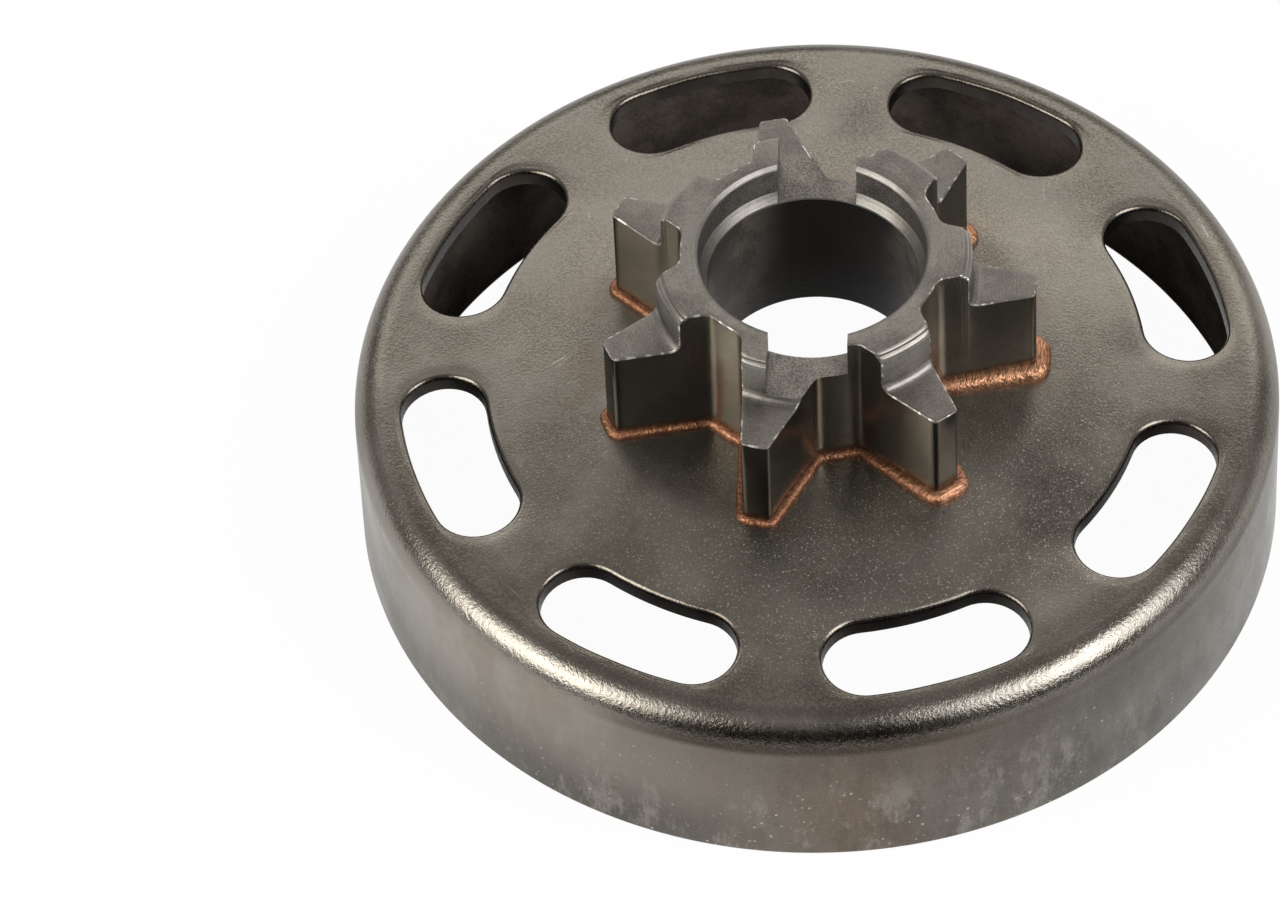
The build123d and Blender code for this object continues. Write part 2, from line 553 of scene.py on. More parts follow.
def cut_slot(sprocket):
    """Mills the drive slot across the collar and marks its faces."""
    reach = 2 * tooth_tip_radius
    height = collar_top - slot_floor + slot_headroom
    bpy.ops.mesh.primitive_cube_add(size=1)
    cutter = bpy.context.object
    cutter.scale = (2 * slot_half_width * MM, reach * MM, height * MM)
    cutter.location = (0, 0, (slot_floor + height / 2) * MM)
    bpy.context.view_layer.update()
    cut = sprocket.modifiers.new("drive_slot", "BOOLEAN")
    cut.operation = "DIFFERENCE"
    cut.solver = "EXACT"
    cut.object = cutter
    graph = bpy.context.evaluated_depsgraph_get()
    milled = bpy.data.meshes.new_from_object(sprocket.evaluated_get(graph))
    sprocket.modifiers.clear()
    sprocket.data = milled
    bpy.data.objects.remove(cutter)
    near = 0.01 * MM
    squarely = 0.9
    for polygon in milled.polygons:
        centre = polygon.center
        normal = polygon.normal
        on_wall = abs(abs(centre.x) - slot_half_width * MM) < near and abs(normal.x) > squarely
        on_floor = abs(centre.z - slot_floor * MM) < near and normal.z > squarely
        if on_wall or on_floor:
            polygon.material_index = SINTERED


# Bead


def bead_skin():
    """The braze: an uneven rounded bead swept round the foot of the teeth."""
    skin = Skin()
    rows = half_tooth_rows()
    plan = np.array([row[0] for row in rows])
    outward = np.array([row[1] for row in rows])
    flip = np.array((1, -1))
    tooth_plan = np.concatenate((plan * flip, plan[-2:0:-1]))
    tooth_outward = np.concatenate((outward * flip, outward[-2:0:-1]))
    loop = np.concatenate([turned(tooth_plan, pitch * k) for k in range(tooth_count)])
    sides = np.concatenate([turned(tooth_outward, pitch * k) for k in range(tooth_count)])
    closed_loop = np.vstack((loop, loop[:1]))
    closed_sides = np.vstack((sides, sides[:1]))
    along = run_along(closed_loop)
    count = int(along[-1] / bead_spacing)
    places = np.linspace(0, along[-1], count, endpoint=False)
    path = sampled(places, along, closed_loop)
    normal = sampled(places, along, closed_sides)
    normal /= np.linalg.norm(normal, axis=1)[:, None]
    numbers = []
    for point, side, run in zip(path, normal, places):
        width = bead_width(point)
        height = bead_height_share * width
        section = []
        for i in range(bead_section_points + 1):
            turn = pi / 2 * i / bead_section_points
            bulge = 1 + bead_bulge * sin(2 * turn)
            outset = width * sin(turn) * bulge
            level = height * cos(turn) * bulge
            spot = point + side * outset
            grain = bead_grain(spot, hub_top + level) + bead_ripple(run, turn)
            direction = np.array((side[0] * sin(turn), side[1] * sin(turn), cos(turn)))
            place = np.array(lift(spot, hub_top + level)) + direction * grain * sin(turn * 2)
            section.append(tuple(place))
        section.append(lift(point - bead_tuck * side, hub_top))
        numbers.append(skin.row(section))
    for first, second in zip(numbers, numbers[1:] + numbers[:1]):
        skin.strip(first, second, 0, closed=True)
    return skin


def bead_width(point):
    """Width of the bead at a place: fuller on the +X side, with slow changes along it."""
    fuller = max(0, point[0] / tooth_tip_radius) ** bead_fullness_power
    width = bead_least_width + bead_fullness * fuller
    for pace, layer, size in bead_changes:
        width += size * noise.noise(Vector((point[0] * pace, point[1] * pace, layer)))
    return width


def bead_grain(spot, level):
    """Height of the bead's grains at a place."""
    place = np.array(lift(spot, level))
    return sum(size * noise.noise(Vector(place * pace)) for pace, size in bead_grains)


def bead_ripple(run, turn):
    """Height of the fine ripples that lie across the bead."""
    return bead_ripple_size * noise.noise(Vector((run * 5.5 + turn * 0.9, turn * 1.1, 0.5)))


# Node trees


class Nodes:
    """Short calls that add nodes to one tree and join them."""

    def __init__(self, tree):
        self.tree = tree

    def join(self, value, socket):
        """Links a socket, or writes a plain value into it."""
        if isinstance(value, bpy.types.NodeSocket):
            self.tree.links.new(value, socket)
        else:
            socket.default_value = value

    def add(self, kind, settings=None, **inputs):
        """Adds a node, with settings by attribute and inputs by socket name."""
        node = self.tree.nodes.new(kind)
        for name, value in (settings or {}).items():
            setattr(node, name, value)
        for name, value in inputs.items():
            self.join(value, node.inputs[name.replace("_", " ")])
        return node

    def math(self, operation, *values, clamp=False):
        """A sum of one, two or three values."""
        node = self.add("ShaderNodeMath", {"operation": operation, "use_clamp": clamp})
        for value, socket in zip(values, node.inputs):
            self.join(value, socket)
        return node.outputs[0]

    def product(self, *values):
        """Multiplies values, one after the other."""
        total = values[0]
        for value in values[1:]:
            total = self.math("MULTIPLY", total, value)
        return total

    def span(self, value, low, high, to_low=0.0, to_high=1.0):
        """Maps a span of values smoothly to another, and holds it at the ends."""
        settings = {"interpolation_type": "SMOOTHSTEP"}
        inputs = {"Value": value, "From Min": low, "From Max": high, "To Min": to_low, "To Max": to_high}
        return self.add("ShaderNodeMapRange", settings, **inputs).outputs[0]

    def faded(self, *fades):
        """The product of fades, each a value with the places where it starts and where it is full."""
        return self.product(*[self.span(*fade) for fade in fades])

    def blend(self, share, first, second):
        """Mixes two colours."""
        node = self.add("ShaderNodeMix", {"data_type": "RGBA"})
        for value, number in ((share, 0), (first, 6), (second, 7)):
            self.join(value, node.inputs[number])
        return node.outputs[2]

    def layered(self, colour, *layers):
        """Lays tints over a colour, each by its share."""
        for share, tint in layers:
            colour = self.blend(share, colour, tint)
        return colour

    def vector(self, operation, *vectors):
        """Works out two vectors by parts, or the distance between them."""
        node = self.add("ShaderNodeVectorMath", {"operation": operation})
        for vector, socket in zip(vectors, node.inputs):
            self.join(vector, socket)
        return node.outputs

    def place(self):
        """The place on the part in millimetres."""
        spot = self.add("ShaderNodeTexCoord").outputs["Object"]
        return self.vector("MULTIPLY", spot, (1 / MM, 1 / MM, 1 / MM))[0]

    def apart(self, vector):
        """The three parts of a vector."""
        return self.add("ShaderNodeSeparateXYZ", Vector=vector).outputs

    def noise(self, vector, scale, detail=2.0, roughness=0.5):
        """Soft noise from 0 to 1."""
        inputs = {"Vector": vector, "Scale": scale, "Detail": detail, "Roughness": roughness}
        return self.add("ShaderNodeTexNoise", **inputs).outputs["Fac"]


def group(name, inputs, outputs):
    """An empty node group with named value sockets: the group, its nodes, and its two ends."""
    tree = bpy.data.node_groups.new(name, "ShaderNodeTree")
    for label, value in inputs:
        socket = tree.interface.new_socket(label, in_out="INPUT", socket_type="NodeSocketFloat")
        socket.default_value = value
    for label in outputs:
        tree.interface.new_socket(label, in_out="OUTPUT", socket_type="NodeSocketFloat")
    nodes = Nodes(tree)
    return tree, nodes, nodes.add("NodeGroupInput").outputs, nodes.add("NodeGroupOutput").inputs


def metal_mottle_group():
    """Soft clouds, fine grain and small bright specks, of which each metal takes what it shows."""
    inputs = (
        ("Cloud Scale", 0.15),
        ("Grain Scale", 5.0),
        ("Speck Scale", 2.2),
        ("Speck Share", 0.3),
        ("Speck Size", 0.3),
    )
    tree, nodes, given, wanted = group("metal_mottle", inputs, ("Clouds", "Grain", "Specks"))
    place = nodes.place()
    clouds = nodes.noise(place, given["Cloud Scale"], 4.0, 0.6)
    nodes.join(nodes.span(clouds, 0.32, 0.68), wanted["Clouds"])
    nodes.join(nodes.noise(place, given["Grain Scale"], 3.0, 0.6), wanted["Grain"])
    cells = nodes.add("ShaderNodeTexVoronoi", Vector=place, Scale=given["Speck Scale"])
    chosen = nodes.apart(cells.outputs["Color"])
    limit = nodes.math("SUBTRACT", 1.0, given["Speck Share"])
    picked = nodes.math("GREATER_THAN", chosen[0], limit)
    size = nodes.product(nodes.span(chosen[1], 0.0, 1.0, 0.45, 1.0), given["Speck Size"])
    nearness = nodes.math("DIVIDE", cells.outputs["Distance"], size)
    dot = nodes.math("MULTIPLY_ADD", nearness, -1.8, 1.8, clamp=True)
    strength = nodes.span(chosen[2], 0.0, 1.0, 0.25, 1.0)
    nodes.join(nodes.product(dot, picked, strength), wanted["Specks"])
    return tree


def axis_place_group():
    """Distance from the drum's axis and height above its rim, in millimetres."""
    tree, nodes, _, wanted = group("axis_place", (), ("Radius", "Height"))
    across, along, height = nodes.apart(nodes.place())
    squares = nodes.math("ADD", nodes.math("POWER", across, 2.0), nodes.math("POWER", along, 2.0))
    nodes.join(nodes.math("SQRT", squares), wanted["Radius"])
    nodes.join(height, wanted["Height"])
    return tree


def turned_marks_group():
    """Fine rings about the axis, as a lathe leaves them."""
    inputs = (("Ring Scale", 12.0), ("Wander", 0.05))
    tree, nodes, given, wanted = group("turned_marks", inputs, ("Rings",))
    axis = use(nodes, axis_place)
    drift = nodes.product(nodes.noise(nodes.place(), 0.4, 1.0), given["Wander"])
    across = nodes.math("ADD", axis["Radius"], drift)
    across = nodes.math("MULTIPLY_ADD", axis["Height"], 0.7, across)
    settings = {"noise_dimensions": "1D"}
    rings = nodes.add("ShaderNodeTexNoise", settings, W=across, Scale=given["Ring Scale"], Detail=3.0)
    nodes.join(rings.outputs["Fac"], wanted["Rings"])
    return tree


def use(nodes, tree, **inputs):
    """Places a node group with its own values and gives its outputs."""
    return nodes.add("ShaderNodeGroup", {"node_tree": tree}, **inputs).outputs


axis_place = axis_place_group()
metal_mottle = metal_mottle_group()
turned_marks = turned_marks_group()


def new_material(name):
    """A material with its nodes and its shader."""
    material = bpy.data.materials.new(name)
    material.use_nodes = True
    nodes = Nodes(material.node_tree)
    shader = material.node_tree.nodes["Principled BSDF"]
    shader.inputs["Metallic"].default_value = 1.0
    return material, nodes, shader


def bumped(nodes, shader, height, depth):
    """Feeds a height in millimetres to the shader's normal."""
    bump = nodes.add("ShaderNodeBump", Height=height, Distance=depth * MM)
    nodes.join(bump.outputs[0], shader.inputs["Normal"])


def finished(nodes, shader, colour, grain, roughness, swing):
    """Feeds the shader its colour, and a roughness that swings with the grain."""
    nodes.join(colour, shader.inputs["Base Color"])
    uneven = nodes.span(grain, 0.3, 0.7, roughness - swing, roughness + swing)
    nodes.join(uneven, shader.inputs["Roughness"])


# Colours of the wall
wall_dark = (0.105, 0.1, 0.094, 1)
wall_pale = (0.188, 0.18, 0.167, 1)
brown_tint = (0.165, 0.125, 0.095, 1)
mottle_tint = (0.085, 0.073, 0.06, 1)
painted_sheen_tint = (0.37, 0.342, 0.3, 1)
tarnish_tint = (0.25, 0.208, 0.163, 1)
painted_shade_tint = (0.03, 0.027, 0.023, 1)
smear_tint = (0.25, 0.228, 0.203, 1)
dot_tint = (0.52, 0.495, 0.455, 1)
shade_tint = (0.09, 0.077, 0.064, 1)


def wall_colour(nodes, place, side, height):
    """The wall: browned in front, painted sheen at the left, painted shade near the rim and under the
    corner, smears, pale dots.
    """
    marks = use(nodes, metal_mottle, Cloud_Scale=0.09, Speck_Scale=1.9, Speck_Share=0.55)
    upright = nodes.vector("MULTIPLY", place, (1.0, 1.0, 0.45))[0]
    browned = nodes.faded((side, 26.0, 6.0), (side, -34.0, -14.0))
    brown = nodes.span(nodes.noise(upright, 0.11, 4.0, 0.6), 0.38, 0.62)
    brown = nodes.math("MULTIPLY_ADD", brown, 0.6, 0.4)
    mottles = nodes.span(nodes.noise(upright, 0.5, 7.0, 0.7), 0.54, 0.38)
    # painted sheen: the wall's left painted lighter, as the left lamp's light falls on it
    wear_and_painted_sheen = nodes.span(side, -34.0, -27.0, 0.6, nodes.span(side, 6.0, -20.0))
    tarnish = nodes.span(nodes.noise(upright, 0.17, 6.0, 0.65), 0.44, 0.6)
    # painted shade: the wall darker toward the rim at its sides, and along its far left edge
    at_sides = nodes.span(side, 8.0, 22.0, nodes.span(side, 4.0, -14.0, 0.15, 0.8), 0.4)
    painted_rim_shade = nodes.product(nodes.span(height, 10.5, 0.0), at_sides)
    painted_rim_shade = nodes.math("MAXIMUM", painted_rim_shade, nodes.span(side, -33.6, -35.2, 0.0, 0.8))
    in_front = nodes.faded((side, 32.0, 18.0, 0.3, 1.0), (side, -30.0, -14.0, 0.3, 1.0))
    low = nodes.product(nodes.span(height, 12.0, 6.0), in_front)
    smears = nodes.span(nodes.noise(upright, 0.27, 9.0, 0.78), 0.5, 0.62)
    clusters = nodes.span(nodes.noise(place, 0.14), 0.36, 0.56, 0.15, 1.0)
    clusters = nodes.product(in_front, clusters)
    dots = nodes.product(nodes.span(height, 13.5, 8.0), marks["Specks"], clusters)
    shaded = nodes.product(nodes.faded((height, 4.0, 11.5), (side, -24.0, -6.0)), 0.5)
    return nodes.layered(
        nodes.blend(marks["Clouds"], wall_dark, wall_pale),
        (nodes.product(browned, brown), brown_tint),
        (nodes.product(mottles, 0.45), mottle_tint),
        # painted sheen at the left, with tarnish patches within it
        (nodes.product(wear_and_painted_sheen, 0.8), painted_sheen_tint),
        (nodes.product(wear_and_painted_sheen, tarnish, 0.6), tarnish_tint),
        (painted_rim_shade, painted_shade_tint),
        (nodes.product(low, smears, 0.8), smear_tint),
        (dots, dot_tint),
        (shaded, shade_tint),
    )


# Colours of the web
web_dark = (0.168, 0.152, 0.127, 1)
web_pale = (0.262, 0.242, 0.212, 1)
heat_tint = (0.15, 0.105, 0.07, 1)
shade_spot_tint = (0.04, 0.034, 0.028, 1)
light_spot_tint = (0.40, 0.375, 0.333, 1)
strip_tint = (0.06, 0.047, 0.035, 1)
corner_highlight_tint = (0.33, 0.31, 0.275, 1)

# Spots of painted shade, chiefly the teeth's shadows, and of painted light, on the web and its corner:
# place, reach and strength
spot_core = 0.3
spot_rim = 1.2
web_shade_spots = (
    ((2.4, 25.7, 15.0), 3.6, 0.5),
    ((18.5, -12.5, 15.5), 6.0, 0.55),
    ((4.0, -19.0, 15.5), 7.0, 0.3),
    ((24.5, 3.0, 15.2), 2.8, 0.45),
    ((33.6, -3.0, 13.0), 7.0, 0.4),
    ((-34.2, -5.0, 12.5), 6.0, 0.4),
)
# painted light: lighter spots where the lamps' light falls broader on the web
web_light_spots = (
    ((19.5, -24.0, 14.9), 5.0, 0.7),
    ((-6.0, -22.0, 15.3), 7.0, 0.15),
    ((12.0, -22.0, 15.2), 6.0, 0.25),
    ((-19.0, -14.0, 15.3), 9.0, 0.2),
)


def web_colour(nodes, place, side, depth, radius, clouds):
    """The web: clouds, heat marks about the teeth, painted shade and light, a darker front strip, a painted
    highlight on the corner.
    """
    web = nodes.blend(clouds, web_dark, web_pale)
    near_teeth = nodes.span(radius, 16.5, 23.0, 1.0, 0.0)
    patches = nodes.span(nodes.noise(place, 0.25, 3.0), 0.42, 0.62)
    web = nodes.blend(nodes.product(near_teeth, patches, 0.45), web, heat_tint)
    # painted shade: the web darker at the far back and at the back left
    painted_back_shade = nodes.faded((side, -8.0, -20.0), (depth, 0.0, 6.0, 0.0, 0.22))
    painted_back_shade = nodes.math("MAXIMUM", painted_back_shade, nodes.span(depth, 13.0, 17.5, 0.0, 0.32))
    web = nodes.blend(painted_back_shade, web, painted_shade_tint)
    for spots, tint in ((web_shade_spots, shade_spot_tint), (web_light_spots, light_spot_tint)):
        for centre, reach, strength in spots:
            away = nodes.vector("DISTANCE", place, centre)["Value"]
            away = nodes.math("MULTIPLY_ADD", patches, spot_core * reach, away)
            spot = nodes.span(away, spot_rim * reach, spot_core * reach, 0.0, strength)
            web = nodes.blend(spot, web, tint)
    strip = nodes.faded((radius, 29.5, 31.5), (radius, 34.1, 33.5), (depth, 0.0, -10.0, 0.0, 0.45))
    web = nodes.blend(strip, web, strip_tint)
    # painted highlight on the front left of the corner
    painted_corner_highlight = nodes.faded((radius, 33.2, 34.0), (side, 8.0, -18.0), (depth, -2.0, -12.0))
    painted_corner_highlight = nodes.product(painted_corner_highlight, 0.45)
    return nodes.blend(painted_corner_highlight, web, corner_highlight_tint)


# Colours that lie over the web and the wall
dark_band_tint = (0.05, 0.039, 0.03, 1)
grain_tint = (0.31, 0.287, 0.255, 1)
glint_tint = (0.80, 0.77, 0.71, 1)
scratch_tint = (0.70, 0.67, 0.61, 1)
edge_on_tint = (0.9, 0.89, 0.87, 1)


def drum_skin_material():
    """Satin pressed steel: web and wall, a painted dark reflection on the front of the corner, grain,
    painted glints, scratches.
    """
    material, nodes, shader = new_material("drum_steel")
    place = nodes.place()
    side, depth, height = nodes.apart(place)
    radius = use(nodes, axis_place)["Radius"]
    mottle = use(nodes, metal_mottle, Cloud_Scale=0.13)
    wall = wall_colour(nodes, place, side, height)
    web = web_colour(nodes, place, side, depth, radius, mottle["Clouds"])
    on_web = nodes.span(height, 12.2, 13.4)
    # painted dark reflection: the front of the corner darkened where it mirrors the dark room in front
    painted_dark_band = nodes.faded((side, -19.0, -6.0), (side, 18.0, 7.0), (depth, -30.0, -33.0))
    painted_dark_band = nodes.product(painted_dark_band, nodes.span(height, 11.6, 12.3), nodes.span(height, 14.3, 13.4))
    grain = nodes.span(mottle["Grain"], 0.36, 0.64)
    grain = nodes.product(grain, nodes.span(on_web, 0.0, 1.0, 0.1, 0.35))
    # painted glints: small bright specks, most toward the front, standing for the lamps' glints off the
    # grain
    painted_glints = nodes.faded(
        (nodes.noise(place, 6.0, 2.0, 0.6), 0.59, 0.7),
        (depth, 4.0, -14.0, 0.12, 0.75),
        (side, -22.0, -2.0, 0.35, 1.0),
        (radius, 33.0, 27.0, 0.25, 1.0),
        (on_web, 0.0, 1.0, 0.2, 1.0),
    )
    cracks = nodes.add("ShaderNodeTexVoronoi", {"feature": "DISTANCE_TO_EDGE"}, Vector=place, Scale=0.13)
    scratches = nodes.faded((cracks.outputs["Distance"], 0.006, 0.002), (nodes.noise(place, 0.45), 0.6, 0.7))
    colour = nodes.layered(
        nodes.blend(on_web, wall, web),
        (nodes.product(painted_dark_band, 0.92), dark_band_tint),
        (grain, grain_tint),
        (painted_glints, glint_tint),
        (nodes.product(scratches, on_web, 0.3), scratch_tint),
    )
    nodes.join(colour, shader.inputs["Base Color"])
    satin = nodes.span(mottle["Clouds"], 0.0, 1.0, 0.24, 0.32)
    corner = nodes.faded((radius, 32.4, 33.2), (height, 11.0, 12.2))
    nodes.join(nodes.math("MULTIPLY_ADD", corner, -0.03, satin), shader.inputs["Roughness"])
    nodes.join(nodes.span(radius, 16.5, 22.0, 0.92, 1.0), shader.inputs["Metallic"])
    shader.inputs["Specular Tint"].default_value = edge_on_tint
    pebbles = nodes.product(nodes.noise(place, 3.0, 3.0, 0.6), corner)
    bumped(nodes, shader, nodes.math("MULTIPLY_ADD", pebbles, 1.6, mottle["Grain"]), 0.024)
    return material


def edge_material(name, shade, lighter, roughness):
    """Dark steel of the windows, its darkness painted shade: the walls as the punch left them, or the
    burnished roll above.
    """
    material, nodes, shader = new_material(name)
    mottle = use(nodes, metal_mottle, Cloud_Scale=0.3, Grain_Scale=4.0)
    colour = nodes.blend(mottle["Clouds"], shade, lighter)
    finished(nodes, shader, colour, mottle["Grain"], roughness, 0.06)
    bumped(nodes, shader, mottle["Grain"], 0.015)
    return material


# Tint of the inside's reflections, and painted shade on the far wall of the bore
scale_edge_tint = (1.0, 0.9, 0.8, 1)
bore_shade_tint = (0.003, 0.0026, 0.0022, 1)


def dull_material(name, shade, lighter, roughness, gloss, bore_shade_share=0.0):
    """Dull dark finish of the drum's inside and of the bore, its darkness painted shade."""
    material, nodes, shader = new_material(name)
    shader.inputs["Metallic"].default_value = 0.0
    shader.inputs["Specular IOR Level"].default_value = gloss
    shader.inputs["Specular Tint"].default_value = scale_edge_tint
    mottle = use(nodes, metal_mottle, Cloud_Scale=0.2, Grain_Scale=4.0)
    tone = nodes.math("SUBTRACT", mottle["Grain"], 0.5)
    tone = nodes.math("MULTIPLY_ADD", tone, 1.5, mottle["Clouds"])
    colour = nodes.blend(nodes.span(tone, 0.0, 1.0), shade, lighter)
    side, depth, _ = nodes.apart(nodes.place())
    # painted shade on the bore's far wall
    painted_bore_shade = nodes.faded((side, -6.5, -2.0), (side, 8.0, 4.5), (depth, 0.0, 4.0, 0.0, bore_shade_share))
    colour = nodes.blend(painted_bore_shade, colour, bore_shade_tint)
    finished(nodes, shader, colour, mottle["Grain"], roughness, 0.06)
    bumped(nodes, shader, mottle["Grain"], 0.03)
    return material


# Painted shade on the tips of the teeth
tip_tint = (0.06, 0.054, 0.045, 1)


def sprocket_material(name, shade, lighter, roughness, rings, grain, depth, metallic=1.0, tips=0.0):
    """Steel of the sprocket: how dark, how rough, and how much of lathe marks and of grain it shows."""
    material, nodes, shader = new_material(name)
    shader.inputs["Metallic"].default_value = metallic
    mottle = use(nodes, metal_mottle, Cloud_Scale=0.3, Grain_Scale=6.5)
    marks = use(nodes, turned_marks)["Rings"]
    given = (mottle["Clouds"], marks, mottle["Grain"])
    clouds, lines, grains = [nodes.math("SUBTRACT", value, 0.5) for value in given]
    tone = nodes.math("MULTIPLY_ADD", clouds, 0.6, 0.5)
    tone = nodes.math("MULTIPLY_ADD", lines, rings, tone)
    tone = nodes.math("MULTIPLY_ADD", grains, grain, tone, clamp=True)
    colour = nodes.blend(tone, shade, lighter)
    # painted shade: the tips of the teeth darkened
    at_tip = nodes.span(use(nodes, axis_place)["Radius"], 16.3, 16.7, 0.0, tips)
    colour = nodes.blend(at_tip, colour, tip_tint)
    finished(nodes, shader, colour, mottle["Grain"], roughness, 0.04)
    bumped(nodes, shader, nodes.math("MULTIPLY_ADD", marks, rings, mottle["Grain"]), depth)
    return material


def worn_edge_material():
    """Edges of the teeth, bright in dashes where they wore."""
    material, nodes, shader = new_material("sprocket_worn_edge")
    dull_edge = (0.22, 0.205, 0.18, 1)
    bright_edge = (0.70, 0.675, 0.63, 1)
    wear_and_painted_sheen = nodes.span(nodes.noise(nodes.place(), 1.6), 0.5, 0.62)
    colour = nodes.blend(wear_and_painted_sheen, dull_edge, bright_edge)
    nodes.join(colour, shader.inputs["Base Color"])
    mottle = use(nodes, metal_mottle, Cloud_Scale=0.5)
    nodes.join(nodes.span(mottle["Clouds"], 0.0, 1.0, 0.3, 0.42), shader.inputs["Roughness"])
    bumped(nodes, shader, mottle["Grain"], 0.02)
    return material


# Colours and ripples of the braze
aged_copper = (0.39, 0.178, 0.098, 1)
fresh_copper = (0.82, 0.425, 0.25, 1)
outer_copper = (0.34, 0.14, 0.075, 1)
cloud_copper = (0.55, 0.29, 0.18, 1)
hollow_copper = (0.13, 0.053, 0.028, 1)
bright_copper = (1.0, 0.72, 0.55, 1)
ripples_round = 26.0
ripples_up = 4.5
ripples_out = 8.5


def copper_material():
    """Rippled braze, fresher on the +X side, with hollows between the ripples darkened as painted shade, and
    bright grains.
    """
    material, nodes, shader = new_material("braze_copper")
    shader.inputs["Metallic"].default_value = 0.9
    across, along, _ = nodes.apart(nodes.place())
    axis = use(nodes, axis_place)
    mottle = use(nodes, metal_mottle, Cloud_Scale=0.5, Grain_Scale=7.0, Speck_Scale=5.0, Speck_Share=0.4)
    turn = nodes.product(nodes.math("ARCTAN2", along, across), ripples_round)
    level = nodes.product(axis["Height"], ripples_up)
    slant = nodes.math("MULTIPLY_ADD", axis["Radius"], ripples_out, level)
    spot = nodes.add("ShaderNodeCombineXYZ", X=slant, Y=turn, Z=level).outputs[0]
    ripples = nodes.noise(spot, 1.0, 2.0, 0.55)
    # painted shade: the hollows between the ripples darkened
    hollows = nodes.span(ripples, 0.56, 0.4)
    colour = nodes.layered(
        nodes.blend(nodes.span(across, 7.0, 13.0), aged_copper, fresh_copper),
        (nodes.span(across, 16.8, 17.8, 0.0, 0.6), outer_copper),
        (nodes.product(mottle["Clouds"], 0.3), cloud_copper),
        (nodes.product(hollows, 0.72), hollow_copper),
        (nodes.product(mottle["Specks"], 0.5), bright_copper),
    )
    finished(nodes, shader, colour, mottle["Grain"], 0.35, 0.07)
    bumped(nodes, shader, nodes.math("MULTIPLY_ADD", ripples, 1.5, mottle["Grain"]), 0.05)
    return material


# Pieces

# window walls painted dark as the shaded inside, and the roll darkened as a painted dark reflection
cut_edge = edge_material(
    "drum_cut_edge", shade=(0.02, 0.017, 0.014, 1), lighter=(0.042, 0.036, 0.029, 1),
    roughness=0.45,
)
# the drum's inside painted dark, as painted shade
inside_face = dull_material(
    "drum_inside", shade=(0.088, 0.073, 0.062, 1), lighter=(0.165, 0.14, 0.12, 1),
    roughness=0.6, gloss=0.0,
)
rolled_edge = edge_material(
    "drum_rolled_edge", shade=(0.12, 0.104, 0.085, 1), lighter=(0.19, 0.17, 0.145, 1),
    roughness=0.25,
)
drum = drum_cup_skin().piece("drum_shell")
for finish in (drum_skin_material(), cut_edge, inside_face, rolled_edge):
    drum.data.materials.append(finish)
smooth(drum)
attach(drum, "root")
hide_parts("drum_cup")

flank_face = sprocket_material(
    "sprocket_flank", shade=(0.175, 0.16, 0.135, 1), lighter=(0.225, 0.208, 0.178, 1),
    roughness=0.23, rings=0.0, grain=0.6, depth=0.002, metallic=0.95, tips=0.8,
)
turned_face = sprocket_material(
    "sprocket_turned", shade=(0.157, 0.145, 0.13, 1), lighter=(0.3, 0.281, 0.255, 1),
    roughness=0.42, rings=1.0, grain=2.4, depth=0.02,
)
bore_face = dull_material(
    "sprocket_bore", shade=(0.045, 0.038, 0.032, 1), lighter=(0.13, 0.11, 0.093, 1),
    roughness=0.36, gloss=0.05, bore_shade_share=0.95,
)
sintered_face = sprocket_material(
    "sprocket_sintered", shade=(0.13, 0.12, 0.107, 1), lighter=(0.34, 0.318, 0.288, 1),
    roughness=0.45, rings=0.0, grain=3.5, depth=0.045,
)
bright_face = sprocket_material(
    "sprocket_bright", shade=(0.2, 0.187, 0.167, 1), lighter=(0.37, 0.35, 0.32, 1),
    roughness=0.36, rings=2.4, grain=0.8, depth=0.008, metallic=0.85,
)
sprocket = sprocket_skin().piece("sprocket_body")
for finish in (flank_face, worn_edge_material(), turned_face, bore_face, sintered_face, bright_face):
    sprocket.data.materials.append(finish)
cut_slot(sprocket)
smooth(sprocket)
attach(sprocket, "root")
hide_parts("spur_sprocket")

bead = bead_skin().piece("braze_run")
bead.data.materials.append(copper_material())
smooth(bead)
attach(bead, "root")
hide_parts("braze_bead")

# Camera at the photograph's place

image_width = 1280
image_height = 900
focal_pixels = 8820.97
camera_tilt = radians(49.8646)
camera_roll = radians(2.993)
camera_turn = radians(5.34)
camera_distance = 686.8
origin_pixel = (819.03, 492.19)
sensor_width = 36

right = Vector((1, 0, 0))
forward = Vector((0, cos(camera_tilt), -sin(camera_tilt)))
down = Vector((0, -sin(camera_tilt), -cos(camera_tilt)))
right, down = (
    cos(camera_roll) * right + sin(camera_roll) * down,
    cos(camera_roll) * down - sin(camera_roll) * right,
)
aside = (origin_pixel[0] - image_width / 2) / focal_pixels * camera_distance
below = (origin_pixel[1] - image_height / 2) / focal_pixels * camera_distance
stand = -(right * aside + down * below + forward * camera_distance) * MM
axes = Matrix((right, -down, -forward)).transposed().to_4x4()
camera_data = bpy.data.cameras.new("camera")
camera_data.sensor_width = sensor_width
camera_data.lens = focal_pixels / image_width * sensor_width
camera = bpy.data.objects.new("camera", camera_data)
bpy.context.scene.collection.objects.link(camera)
facing = Matrix.Rotation(camera_turn, 4, "Z")
camera.matrix_world = facing @ Matrix.Translation(stand) @ axes
bpy.context.scene.camera = camera

# Studio, in metres: a pale floor, a broad soft lamp behind and above, and one to each side

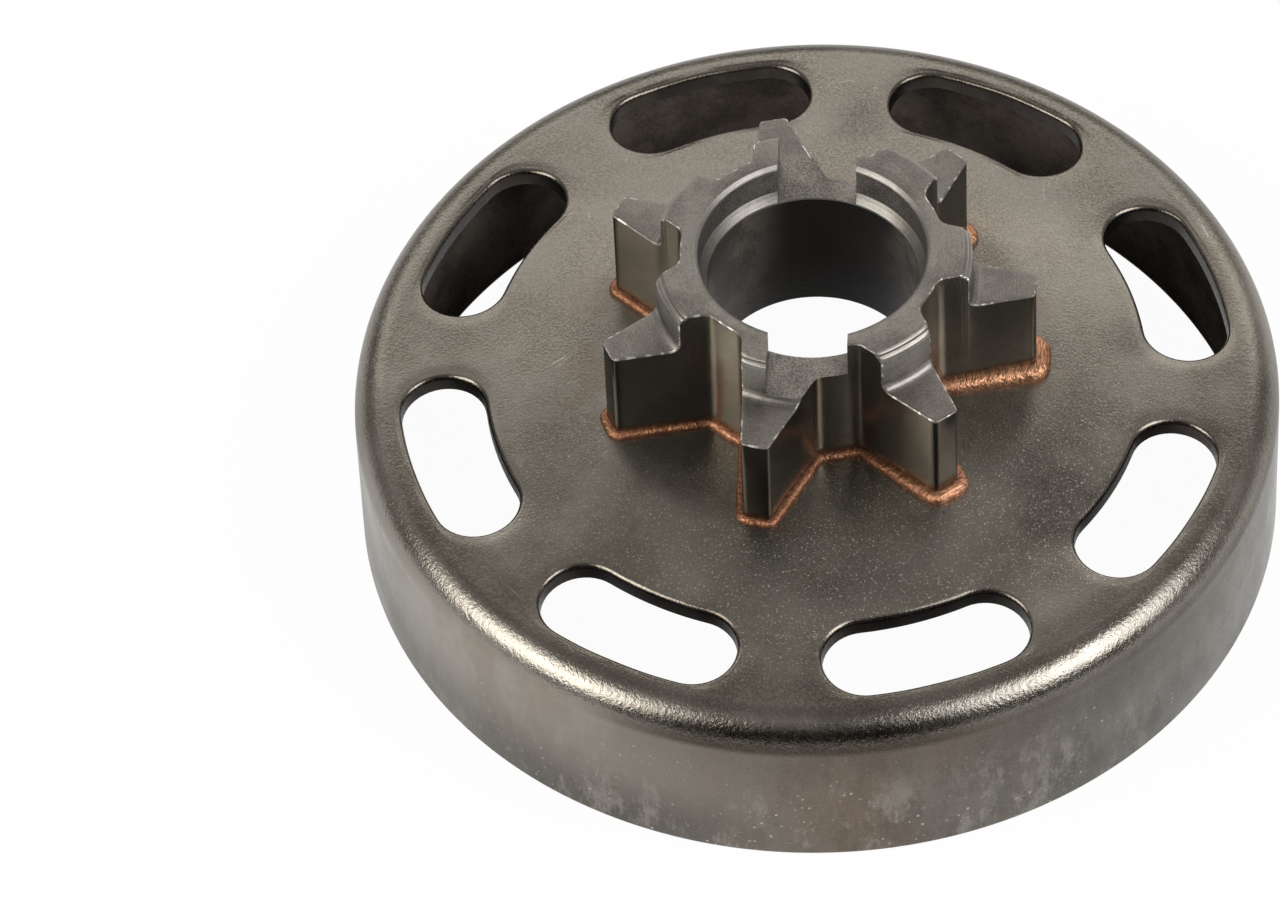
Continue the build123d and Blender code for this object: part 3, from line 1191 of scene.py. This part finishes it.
floor_size = 2.4
floor_gap = 0.00005
floor_glow = 0.96
floor_paint = (0.9, 0.9, 0.9, 1)
bpy.ops.mesh.primitive_plane_add(size=floor_size, location=(0, 0, -floor_gap))
floor = bpy.context.object
floor.name = "floor"
floor_material = bpy.data.materials.new("floor")
floor_material.use_nodes = True
floor_nodes = Nodes(floor_material.node_tree)
floor_material.node_tree.nodes.clear()
path = floor_nodes.add("ShaderNodeLightPath").outputs
seen = floor_nodes.math("ADD", path["Is Camera Ray"], path["Is Glossy Ray"])
seen = floor_nodes.math("ADD", seen, path["Is Transmission Ray"], clamp=True)
share = floor_nodes.product(seen, floor_glow)
paint = floor_nodes.add("ShaderNodeBsdfDiffuse", Color=floor_paint).outputs[0]
glow = floor_nodes.add("ShaderNodeEmission").outputs[0]
cover = floor_nodes.add("ShaderNodeMixShader")
for value, socket in zip((share, paint, glow), cover.inputs):
    floor_nodes.join(value, socket)
floor_end = floor_nodes.add("ShaderNodeOutputMaterial")
floor_nodes.join(cover.outputs[0], floor_end.inputs["Surface"])
floor.data.materials.append(floor_material)


def soft_lamp(name, azimuth, elevation, distance, size, radiance, colour):
    """An area lamp that faces the drum; azimuth runs from the camera's right, anticlockwise."""
    data = bpy.data.lights.new(name, "AREA")
    data.shape = "RECTANGLE"
    data.size, data.size_y = size
    data.energy = pi * radiance * size[0] * size[1]
    data.color = colour
    lamp = bpy.data.objects.new(name, data)
    bpy.context.scene.collection.objects.link(lamp)
    turn = radians(azimuth) + camera_turn
    rise = radians(elevation)
    toward = Vector((cos(rise) * cos(turn), cos(rise) * sin(turn), sin(rise)))
    lamp.location = toward * distance
    lamp.rotation_euler = toward.to_track_quat("Z", "Y").to_euler()


soft_lamp(
    "back_lamp", azimuth=88, elevation=35, distance=0.5,
    size=(0.8, 0.2), radiance=1.45, colour=(1.0, 0.98, 0.95),
)
soft_lamp(
    "left_lamp", azimuth=204, elevation=34, distance=0.45,
    size=(0.32, 0.25), radiance=5.4, colour=(1.0, 0.98, 0.94),
)
soft_lamp(
    "right_lamp", azimuth=-30, elevation=41, distance=0.45,
    size=(0.28, 0.28), radiance=5.5, colour=(0.98, 0.99, 1.0),
)

# Room: dark in front, pale overhead and behind
front_low = (0.022, 0.018, 0.015, 1)
front_overhead = (0.30, 0.29, 0.275, 1)
back_low = (0.16, 0.155, 0.148, 1)
back_high = (0.43, 0.42, 0.40, 1)
world = bpy.data.worlds.new("studio")
bpy.context.scene.world = world
world.use_nodes = True
world_nodes = Nodes(world.node_tree)
backdrop = world.node_tree.nodes["Background"]
aside, away, up = world_nodes.apart(world_nodes.add("ShaderNodeTexCoord").outputs["Generated"])
behind = world_nodes.product(away, cos(camera_turn))
behind = world_nodes.math("MULTIPLY_ADD", aside, -sin(camera_turn), behind)
front = world_nodes.blend(world_nodes.span(up, 0.5, 1.0), front_low, front_overhead)
rising = world_nodes.span(up, 0.0, 0.6, world_nodes.span(aside, 0.0, 0.6), 1.0)
back = world_nodes.blend(rising, back_low, back_high)
sky = world_nodes.blend(world_nodes.span(behind, -0.45, 0.6), front, back)
world_nodes.join(sky, backdrop.inputs["Color"])

bpy.context.scene.view_settings.view_transform = "Standard"
